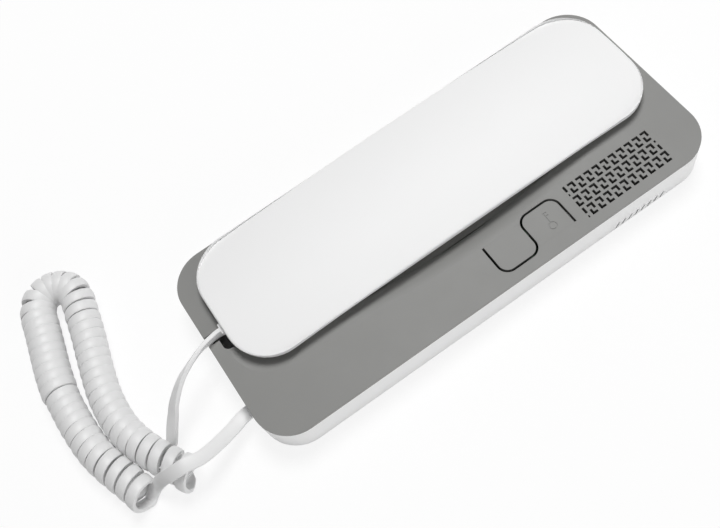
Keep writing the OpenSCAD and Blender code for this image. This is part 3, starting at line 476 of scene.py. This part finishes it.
def straight_end(curl, way, rise, run, plug):
    """Smooth centreline from a curl's end to the back of a plug.

    The cable first runs on its way by LEAD. The points of the rise are counted from there, and those
    of the run from the plug.
    """
    lead_end = curl[0] + way * LEAD
    points = [curl[0]] + [lead_end + Vector(p) for p in rise] + [plug + Vector(p) for p in run]
    return smooth_line(points, END_STEPS)[1:]


base_plug, handset_plug = plug_back("base_plug"), plug_back("handset_plug")
first_curl, last_curl = curls[0], curls[-1]
base_line = straight_end(
    first_curl, first_curl[1].cross(first_curl[2]),
    [(0, 0, 0), (-1.2, 1.7, 0.5), (-2.1, 4.5, 2.8), (-1.7, 7.3, 6.1), (-0.5, 10.3, 10.1),
     (1.1, 13.7, 13.5), (2.1, 17.3, 15.7), (2.5, 21.1, 16.2)],
    [(7.2, -24.2, 7.6), (5, -16.2, 4.2), (2.4, -9.2, 1.5), (0.4, -4.2, 0.1), (0, 0, 0)], base_plug)
handset_line = straight_end(
    last_curl, last_curl[2].cross(last_curl[1]),
    [(0, 0, 0), (-0.6, 1.5, 1.5), (-1, 2.8, 3.2), (-1.9, 4.2, 5.2), (-4, 6.5, 7.7),
     (-6.8, 9.5, 10.2), (-9.6, 12.6, 12.8)],
    [(8.6, -27.9, 1.2), (5.5, -21.8, 2.3), (1.9, -14.8, 1.1), (0.3, -8.3, 0.2), (0, -3.8, 0),
     (0, 0, 0)], handset_plug)
print("points of the straight ends:", len(base_line), "and", len(handset_line))

# %% Which way the straight ends face
ACROSS, INTO_PLUG = Vector((1, 0, 0)), Vector((0, 1, 0))


def carried_frames(line, curl, end_wide, twist_from, twist_to, sway):
    """Flat and width directions along a straight end, carried from its curl and turned to the plug.

    The sway, in degrees, is how far the cable also rolls over halfway along.
    """
    flat, wide = curl[1].copy(), curl[2].copy()
    last = len(line) - 1
    ways = [(line[min(i + 1, last)] - line[max(i - 1, 0)]).normalized() for i in range(last + 1)]
    ways[last] = INTO_PLUG
    frames = []
    way = ways[0]
    for here in ways:
        turn = way.rotation_difference(here)
        flat, wide = turn @ flat, turn @ wide
        way = here
        frames.append((flat.copy(), wide.copy()))
    rest = math.atan2(wide.cross(end_wide).dot(ways[last]), wide.dot(end_wide))
    if abs(rest) > math.pi / 2:
        rest -= math.copysign(math.pi, rest)
    for i, (flat, wide) in enumerate(frames):
        share = min(max((i / last - twist_from) / (twist_to - twist_from), 0.0), 1.0)
        roll = rest * share * share * (3 - 2 * share) + math.radians(sway) * math.sin(math.pi * i / last)
        turn = Quaternion(ways[i], roll)
        frames[i] = (turn @ flat, turn @ wide)
    return frames


base_frames = carried_frames(base_line, first_curl, ACROSS, twist_from=0.0, twist_to=0.6, sway=20)
handset_frames = carried_frames(handset_line, last_curl, UP, twist_from=0.3, twist_to=0.95, sway=0)
print("directions carried along", len(base_frames), "and", len(handset_frames), "points")

# %% The whole cable, from the base to the handset
BASE_END_W, HANDSET_END_W = 5.6, 5.0
WIDEN_OVER = 0.3


def dressed_end(line, frames, width):
    """Rings of a straight end, which widens from the coil's width as the pull on the jacket eases."""
    steps = WIDEN_OVER * len(line)
    return [(p, flat, wide, CORD_W + (width - CORD_W) * min(i / steps, 1.0))
            for i, (p, (flat, wide)) in enumerate(zip(line, frames))]


cable = dressed_end(base_line, base_frames, BASE_END_W)[::-1]
cable += curls
cable += dressed_end(handset_line, handset_frames, HANDSET_END_W)
cable_runs = distances([ring[0] for ring in cable])

# %% [markdown]
# ## The cable itself
#
# The jacket is a flat strip with round edges and slightly domed faces. A ring of that section is set
# at every point of the centreline and the rings are joined. A UV map runs along the cable, ready for
# a finish that follows it.

# %% Helpers for meshes
WELD = 0.001 * MM  # points that are closer than this are one point


def make_mesh(name, verts, faces):
    """A new object at the origin, its place in its vertices, which are in millimetres."""
    mesh = bpy.data.meshes.new(name)
    mesh.from_pydata([Vector(v) * MM for v in verts], [], faces)
    mesh.validate()
    return add_object(name, mesh)


def ring_faces(rings, around):
    """Faces that join each ring of points to the next one."""
    faces = []
    for i in range(rings - 1):
        for k in range(around):
            a, b = i * around + k, i * around + (k + 1) % around
            faces.append((a, b, b + around, a + around))
    return faces


def smooth_shade(piece, angle):
    """Smooth shading that keeps edges sharper than the angle, in degrees."""
    mesh = piece.data
    mesh.polygons.foreach_set("use_smooth", [True] * len(mesh.polygons))
    mesh.set_sharp_from_angle(angle=math.radians(angle))


def outward(piece):
    """Merges doubled points and turns every face outwards."""
    shape = bmesh.new()
    shape.from_mesh(piece.data)
    bmesh.ops.remove_doubles(shape, verts=shape.verts, dist=WELD)
    bmesh.ops.recalc_face_normals(shape, faces=shape.faces)
    shape.to_mesh(piece.data)
    shape.free()


# %% Section of the cable, and a tube of it
EDGE_ROUND, DOME = 0.28, 0.3
FACE_STEPS, EDGE_STEPS = 4, 4
# Corners of a rounded rectangle, anticlockwise: side in x, side in y, angle where the round starts
CORNERS = ((1, 1, 0), (-1, 1, 90), (-1, -1, 180), (1, -1, 270))


def section_points(width):
    """Section of the jacket, as (across the width, through the thickness), in millimetres."""
    half_w, half_t = width / 2 - EDGE_ROUND, CORD_T / 2 - EDGE_ROUND
    ring = []
    for sx, sy, start in CORNERS:
        for k in range(EDGE_STEPS + 1):
            angle = math.radians(start + 90 * k / EDGE_STEPS)
            ring.append((sx * half_w + EDGE_ROUND * math.cos(angle),
                         sy * half_t + EDGE_ROUND * math.sin(angle)))
        if start in (0, 180):
            face_y = ring[-1][1]
            ring += [(sx * half_w * (1 - 2 * k / FACE_STEPS), face_y) for k in range(1, FACE_STEPS)]
    return [(a, b - math.copysign(DOME * (a / (width / 2)) ** 2, b)) for a, b in ring]


SECTION_SIDES = len(section_points(CORD_W))
verts = [centre + wide * a + flat * b
         for centre, flat, wide, width in cable for a, b in section_points(width)]
faces = ring_faces(len(cable), SECTION_SIDES)
faces.append(tuple(range(SECTION_SIDES))[::-1])
faces.append(tuple(range(len(verts) - SECTION_SIDES, len(verts))))
cord = make_mesh("handset_cord", verts, faces)
uv = cord.data.uv_layers.new(name="along_cable")
for loop in cord.data.loops:
    ring, k = divmod(loop.vertex_index, SECTION_SIDES)
    uv.data[loop.index].uv = (k / SECTION_SIDES, cable_runs[ring] * MM)
outward(cord)
smooth_shade(cord, 60)
cord.data.materials.append(cord_white)
print("cable faces:", len(cord.data.polygons))

# %% [markdown]
# ## How the cord moves
#
# The cord lies with the base, and only its last stretch would follow the handset when that is lifted.
# Two cords, one on each body, would part there, so one cord would be blended between the bodies. The
# stretch that has to give is marked along one direction, mostly toward the handset and a little
# upward: along it, the curls and the base's end all lie before that stretch. The code here only
# measures the stretch and hides the CAD cord; it sets up no blend.

# %% Measure the stretch of the cord that would give
toward_handset = Vector((-0.25, 1.0, 0.4))
follow_from, follow_to = -107.0, -89.0
mark = toward_handset / toward_handset.length_squared * MM  # one unit of the two values above
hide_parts("curly_cord", "base_tail", "handset_tail")
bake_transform(cord)
give = mark.length * (follow_to - follow_from) / MM
print("the cord gives over", round(give, 1), "mm")

# %% [markdown]
# ## The handset's front
#
# The handset's outer half is a long rounded plate with a gentle crown and a soft edge. A subdivided
# box would swell where it likes, and the crown is a rule: a wide arch across and a long arch along.
# So the front starts as a flat sheet of rings, each a rounded rectangle a little inside the last, and
# a Geometry Nodes tree lifts every point to the crown. The ring's own drop, stored on the points,
# rounds the edge and makes the side wall.

# %% Sizes of the handset, and one ring of it
shell_low, shell_high = (Vector(corner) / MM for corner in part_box("handset_front_shell"))
HANDSET_W, HANDSET_LEN = shell_high.x - shell_low.x, shell_high.y - shell_low.y
HANDSET_X, HANDSET_Y = (shell_low.x + shell_high.x) / 2, (shell_low.y + shell_high.y) / 2
CROWN_Z, CROWN_H, HANDSET_R = shell_high.z, 3.3, 19.0
RIM_H = 3.7
RIM_Z = CROWN_Z - CROWN_H - RIM_H
SHELL_T, EDGE_R = 1.8, 0.9
FOOT_IN, FOOT_H = 1.3, 2.7
CORNER_STEPS, LONG_STEPS, SHORT_STEPS = 12, 28, 8


def rounded_ring(inset):
    """Points of the handset's outline, moved in by that much, anticlockwise about its centre."""
    half_w, half_len = HANDSET_W / 2 - inset, HANDSET_LEN / 2 - inset
    r = max(HANDSET_R - inset, 0.0)
    ring = []
    for sx, sy, start in CORNERS:
        centre = Vector((sx * (half_w - r), sy * (half_len - r)))
        for k in range(CORNER_STEPS + 1):
            angle = math.radians(start + 90 * k / CORNER_STEPS)
            ring.append(centre + Vector((math.cos(angle), math.sin(angle))) * r)
        corner = ring[-1]
        if start in (0, 180):
            side, steps = Vector((-2 * sx * (half_w - r), 0)), SHORT_STEPS
        else:
            side, steps = Vector((0, -2 * sy * (half_len - r))), LONG_STEPS
        ring += [corner + side * k / steps for k in range(1, steps)]
    return ring


AROUND = len(rounded_ring(0))
print("handset", round(HANDSET_LEN, 1), "by", round(HANDSET_W, 1), "mm,", AROUND, "points a ring")

# %% Flat rings of the handset
# The profile has (inset, drop below the crown or None, height or None) for each ring: out from the
# middle under the crown, down inside the rim, round the foot, up the side wall, over the soft edge
# and in to the middle
MIDDLE = HANDSET_W / 2
CORNER_HOLD = 0.6  # a ring this close to the rim keeps the corner under the crown crisp
INSIDE = [MIDDLE, 25.0, 19.0, 12.0, 6.0, SHELL_T + CORNER_HOLD, SHELL_T]
OUTSIDE = [2.2, 3.5, 6.0, 9.0, 12.5, 16.0, 19.0, 22.0, 25.0, 27.5, MIDDLE]
QUARTER = [math.radians(degrees) for degrees in range(0, 91, 15)]
profile = [(inset, SHELL_T, None) for inset in INSIDE]
profile += [(SHELL_T, None, RIM_Z)]
profile += [(FOOT_IN * (1 - math.sin(a)), None, RIM_Z + FOOT_H * (1 - math.cos(a))) for a in QUARTER]
profile += [(EDGE_R * (1 - math.cos(a)), EDGE_R * (1 - math.sin(a)), None) for a in QUARTER]
profile += [(inset, 0.0, None) for inset in OUTSIDE]

verts, drops, fixed = [], [], []
for inset, drop, height in profile:
    for p in rounded_ring(inset):
        verts.append((HANDSET_X + p.x, HANDSET_Y + p.y, height if drop is None else 0.0))
        drops.append(0.0 if drop is None else drop * MM)
        fixed.append(drop is None)
front = make_mesh("handset_front", verts, ring_faces(len(profile), AROUND))
front.data.attributes.new("edge_drop", "FLOAT", "POINT").data.foreach_set("value", drops)
front.data.attributes.new("set_height", "BOOLEAN", "POINT").data.foreach_set("value", fixed)
print("handset rings:", len(profile), "points:", len(verts))

# %% [markdown]
# The tree below reads each point's place, works out the height of the crown there, takes off the
# edge's drop and moves the point. Its sizes are named inputs, so the same tree suits another handset.

# %% Geometry Nodes tree that crowns a flat plate
crown, given, made = new_tree(
    "crown_plate", "GeometryNodeTree",
    [("Plate", SHAPE, None), ("Centre X", NUMBER, 0.0), ("Centre Y", NUMBER, 0.0), ("Top", NUMBER, 0.0),
     ("Arch across", NUMBER, 1.0), ("Arch along", NUMBER, 1.0), ("Finish", FINISH, None)],
    [("Shell", SHAPE)])
do = math_chain(crown)


def stored(title, kind):
    """A value that is stored on the points under a name."""
    node = add_node(crown, "GeometryNodeInputNamedAttribute", Name=title)
    node.data_type = kind
    return node.outputs["Attribute"]


def circle_height(radius, offset):
    """Height of a circle over its centre, at an offset from it."""
    return do("SQRT", do("SUBTRACT", do("POWER", radius, 2.0), do("POWER", do("ABSOLUTE", offset), 2.0)))


place = crown.nodes.new("GeometryNodeInputPosition").outputs[0]
split = add_node(crown, "ShaderNodeSeparateXYZ", Vector=place).outputs
across = circle_height(given["Arch across"], do("SUBTRACT", split["X"], given["Centre X"]))
reach = do("ADD", do("SUBTRACT", given["Arch along"], given["Arch across"]), across)
along = circle_height(reach, do("SUBTRACT", split["Y"], given["Centre Y"]))
height = do("ADD", do("SUBTRACT", given["Top"], given["Arch along"]), along)
height = do("SUBTRACT", height, stored("edge_drop", "FLOAT"))
lifted = add_node(crown, "ShaderNodeCombineXYZ", X=split["X"], Y=split["Y"], Z=height).outputs[0]
free = crown.nodes.new("FunctionNodeBooleanMath")
free.operation = "NOT"
feed(crown, free.inputs[0], stored("set_height", "BOOLEAN"))
move = add_node(crown, "GeometryNodeSetPosition", Geometry=given["Plate"], Selection=free.outputs[0],
                Position=lifted)
real = add_node(crown, "GeometryNodeRealizeInstances", Geometry=move.outputs[0])
finish = add_node(crown, "GeometryNodeSetMaterial", Geometry=real.outputs[0], Material=given["Finish"])
feed(crown, made["Shell"], finish.outputs[0])
print("crown_plate has", len(crown.nodes), "nodes")

# %% Crown the handset


def keep_result(piece):
    """Makes the result of a piece's modifier its plain mesh, and removes the modifier."""
    bpy.context.view_layer.update()
    done = piece.evaluated_get(bpy.context.evaluated_depsgraph_get())
    mesh = bpy.data.meshes.new_from_object(done)
    piece.modifiers.clear()
    piece.data = mesh


def run_tree(piece, tree, values):
    """Runs a Geometry Nodes tree on a piece, with its inputs set by name."""
    step = piece.modifiers.new(tree.name, "NODES")
    step.node_group = tree
    sockets = {s.name: s.identifier for s in tree.interface.items_tree if s.in_out == "INPUT"}
    for title, value in values.items():
        step[sockets[title]] = value
    keep_result(piece)


def arch_radius(span):
    """Radius of an arch that rises by the crown's height over half its span."""
    return ((span / 2) ** 2 + CROWN_H ** 2) / (2 * CROWN_H)


run_tree(front, crown, {
    "Centre X": HANDSET_X * MM, "Centre Y": HANDSET_Y * MM, "Top": CROWN_Z * MM,
    "Arch across": arch_radius(HANDSET_W) * MM, "Arch along": arch_radius(HANDSET_LEN) * MM,
    "Finish": handset_white})
outward(front)
print("handset top at", round(max(v.co.z for v in front.data.vertices) / MM, 2), "mm")

# %% [markdown]
# The cord passes under the rim through a small notch. A box is cut out of the shell there, and the
# cut is made part of the mesh before the shell is handed to the handset's body.

# %% Notch for the cord, and the handset's body
NOTCH_W, NOTCH_DEEP, NOTCH_OVER = 4.6, 3.6, 2.4
SPARE = 1.0  # how far the cutting box sticks out of the shell


def box_piece(name, low, high):
    """A box between two corners."""
    corners = [(x, y, z) for x in (low[0], high[0]) for y in (low[1], high[1])
               for z in (low[2], high[2])]
    sides = [(0, 1, 3, 2), (4, 6, 7, 5), (0, 4, 5, 1), (2, 3, 7, 6), (0, 2, 6, 4), (1, 5, 7, 3)]
    return make_mesh(name, corners, sides)


def cut_away(piece, tool):
    """Cuts one mesh out of another for good, and removes the tool."""
    step = piece.modifiers.new("cut", "BOOLEAN")
    step.operation = "DIFFERENCE"
    step.solver = "EXACT"
    step.object = tool
    keep_result(piece)
    bpy.data.objects.remove(tool)


cut_away(front, box_piece(
    "notch", (handset_plug.x - NOTCH_W / 2, shell_low.y - SPARE, RIM_Z - SPARE),
    (handset_plug.x + NOTCH_W / 2, shell_low.y + NOTCH_DEEP, handset_plug.z + NOTCH_OVER)))
smooth_shade(front, 35)
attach(front, "handset")
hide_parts("handset_front_shell")
print("handset faces:", len(front.data.polygons))

# %% [markdown]
# ## Screws
#
# The station is held together by small pan-head screws with a cross recess. The CAD model has them as
# plain stepped pins, so their places and sizes are measured from its solids. Each screw could be
# modelled by hand, but they repeat: a Geometry Nodes tree makes one screw from named sizes and sets a
# copy on every place, so all screws of a group are alike.

# %% Places and sizes of the screws
SCREW_BODIES = {"cover_screws": "base", "board_screws": "base", "handset_screws": "handset"}
# Points farther out than this share of the radius are on the head's rim, and points that are as
# close to the shank's end as this are on the tip
RIM_SHARE, TIP_SPAN = 0.95, 0.05


def solids_of(name):
    """Corner points of each separate solid in a CAD node, in millimetres."""
    shape = bmesh.new()
    shape.from_mesh(nodes[name].data)
    bmesh.ops.remove_doubles(shape, verts=shape.verts, dist=WELD)
    found, groups = set(), []
    for start in shape.verts:
        if start in found:
            continue
        found.add(start)
        reach = [start]
        for vert in reach:
            near = [edge.other_vert(vert) for edge in vert.link_edges]
            fresh = [other for other in near if other not in found]
            found.update(fresh)
            reach += fresh
        groups.append([vert.co / MM for vert in reach])
    shape.free()
    return groups


def measure_screw(points):
    """Seat, head radius and height, shank radius and length, and 1 or -1 for a head up or down."""
    low, high = (Vector(f(p[i] for p in points) for i in range(3)) for f in (min, max))
    middle = (low + high) / 2
    reach = [(math.hypot(p.x - middle.x, p.y - middle.y), p.z) for p in points]
    head_r = max(r for r, _ in reach)
    head = [z for r, z in reach if r > RIM_SHARE * head_r]
    facing = 1 if max(head) > middle.z else -1
    seat, tip = (min(head), low.z) if facing > 0 else (max(head), high.z)
    shank_r = max(r for r, z in reach if abs(z - tip) < TIP_SPAN)
    place = Vector((middle.x, middle.y, seat))
    return place, head_r, max(head) - min(head), shank_r, abs(tip - seat), facing


screws = {name: [measure_screw(points) for points in solids_of(name)] for name in SCREW_BODIES}
print("screws found:", {name: len(found) for name, found in screws.items()})

# %% Geometry Nodes tree for a row of screws
HEAD_SIDES, SHANK_SIDES = 40, 24
# The head's top and the arms of its recess are shares of its radius, and the depth of its height
HEAD_TOP, RECESS_LONG, RECESS_WIDE, RECESS_DEEP = 0.78, 0.62, 0.17, 0.6
screw_row, given, made = new_tree(
    "screw_row", "GeometryNodeTree",
    [("Places", SHAPE, None), ("Head radius", NUMBER, 0.002), ("Head height", NUMBER, 0.001),
     ("Shank radius", NUMBER, 0.001), ("Shank length", NUMBER, 0.005), ("Turn over", NUMBER, 0.0),
     ("Finish", FINISH, None)],
    [("Screws", SHAPE)])
do = math_chain(screw_row)


def grow(kind, **inputs):
    """First output of a new node of the screws' tree."""
    return add_node(screw_row, kind, **inputs).outputs[0]


def vector(x, y, z):
    """A vector from three numbers or outputs."""
    return grow("ShaderNodeCombineXYZ", X=x, Y=y, Z=z)


head_r, head_h, shank_l = given["Head radius"], given["Head height"], given["Shank length"]
pan = grow("GeometryNodeMeshCone", Vertices=HEAD_SIDES, Radius_Top=do("MULTIPLY", head_r, HEAD_TOP),
           Radius_Bottom=head_r, Depth=head_h)
arm = grow("GeometryNodeMeshCube", Size=vector(
    do("MULTIPLY", head_r, 2 * RECESS_LONG), do("MULTIPLY", head_r, 2 * RECESS_WIDE),
    do("MULTIPLY", head_h, 2 * RECESS_DEEP)))
arm = grow("GeometryNodeTransform", Geometry=arm, Translation=vector(0.0, 0.0, head_h))
other_arm = grow("GeometryNodeTransform", Geometry=arm, Rotation=(0.0, 0.0, math.pi / 2))
head = screw_row.nodes.new("GeometryNodeMeshBoolean")
head.operation = "DIFFERENCE"
head.solver = "EXACT"
feed(screw_row, head.inputs["Mesh 1"], pan)
for tool in (arm, other_arm):
    feed(screw_row, head.inputs["Mesh 2"], tool)
shank = grow("GeometryNodeMeshCylinder", Vertices=SHANK_SIDES, Radius=given["Shank radius"],
             Depth=shank_l)
shank = grow("GeometryNodeTransform", Geometry=shank,
             Translation=vector(0.0, 0.0, do("MULTIPLY", shank_l, -0.5)))
whole = screw_row.nodes.new("GeometryNodeJoinGeometry")
for part in (head.outputs["Mesh"], shank):
    feed(screw_row, whole.inputs[0], part)
copies = grow("GeometryNodeInstanceOnPoints", Points=given["Places"], Instance=whole.outputs[0],
              Rotation=vector(given["Turn over"], 0.0, 0.0))
real = grow("GeometryNodeRealizeInstances", Geometry=copies)
feed(screw_row, made["Screws"], grow("GeometryNodeSetMaterial", Geometry=real, Material=given["Finish"]))
print("screw_row has", len(screw_row.nodes), "nodes")

# %% Set the screws on both bodies
for node, body in SCREW_BODIES.items():
    _, head_r, head_h, shank_r, shank_l, facing = screws[node][0]
    row = make_mesh(node.replace("screws", "screw_set"), [screw[0] for screw in screws[node]], [])
    run_tree(row, screw_row, {
        "Head radius": head_r * MM, "Head height": head_h * MM, "Shank radius": shank_r * MM,
        "Shank length": shank_l * MM, "Turn over": 0.0 if facing > 0 else math.pi, "Finish": zinc})
    smooth_shade(row, 30)
    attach(row, body)
    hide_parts(node)
    print(row.name, "has heads of", round(2 * head_r, 2), "mm, faces:", len(row.data.polygons))

# %% [markdown]
# ## Table and light
#
# The table is white and keeps a soft shadow. Part of its white is its own light, seen by the camera
# and in reflections only, so the background is white without more light on the station. The key lamp
# stands high beyond the station's far end, so the handset's rim throws a soft shadow on the cover. A
# weaker lamp stands low on the button side and lights the near wall. An even sky fills the shadows.

# %% White table
WHITE = (1.0, 1.0, 1.0, 1.0)
TABLE_REACH, TABLE_T = 3000, 20
TABLE_GAP = 0.02  # keeps the table's top apart from the faces that lie on it
TABLE_ROUGHNESS, TABLE_GLOW = 0.9, 0.84
table = box_piece("table", (-TABLE_REACH, -TABLE_REACH, -TABLE_T),
                  (TABLE_REACH, TABLE_REACH, -TABLE_GAP))
table_white, tree, shader = new_material("table_white")
shader.inputs["Base Color"].default_value = colour(251, 251, 251)
shader.inputs["Roughness"].default_value = TABLE_ROUGHNESS
glow = add_node(tree, "ShaderNodeEmission", Color=WHITE)
rays = tree.nodes.new("ShaderNodeLightPath").outputs
do = math_chain(tree)
mirrored = do("MAXIMUM", rays["Is Glossy Ray"], rays["Is Transmission Ray"])
seen = do("MAXIMUM", rays["Is Camera Ray"], mirrored)
mix = tree.nodes.new("ShaderNodeMixShader")
feed(tree, mix.inputs["Fac"], do("MULTIPLY", seen, TABLE_GLOW))
feed(tree, mix.inputs[1], shader.outputs[0])
feed(tree, mix.inputs[2], glow.outputs[0])
feed(tree, tree.nodes["Material Output"].inputs["Surface"], mix.outputs[0])
table.data.materials.append(table_white)
print("the table is", 2 * TABLE_REACH, "mm wide")

# %% Lamps and sky
SKY_STRENGTH = 0.2
world = bpy.data.worlds.new("soft_sky")
world.use_nodes = True
sky = world.node_tree.nodes["Background"]
sky.inputs["Color"].default_value = WHITE
sky.inputs["Strength"].default_value = SKY_STRENGTH
bpy.context.scene.world = world


def soft_lamp(name, place, size, watts):
    """A round soft lamp of that size at a place, turned to the station."""
    data = bpy.data.lights.new(name, "AREA")
    data.shape = "DISK"
    data.size = size * MM
    data.energy = watts
    lamp = add_object(name, data)
    lamp.location = Vector(place) * MM
    lamp.rotation_mode = "QUATERNION"
    lamp.rotation_quaternion = (-lamp.location).to_track_quat("-Z", "Y")
    print(name, "gives", watts, "W")


soft_lamp("key_lamp", (-560, 470, 1900), 900, 30.0)
soft_lamp("side_lamp", (1800, 200, 560), 1600, 12.5)
bpy.context.scene.view_settings.view_transform = "Standard"
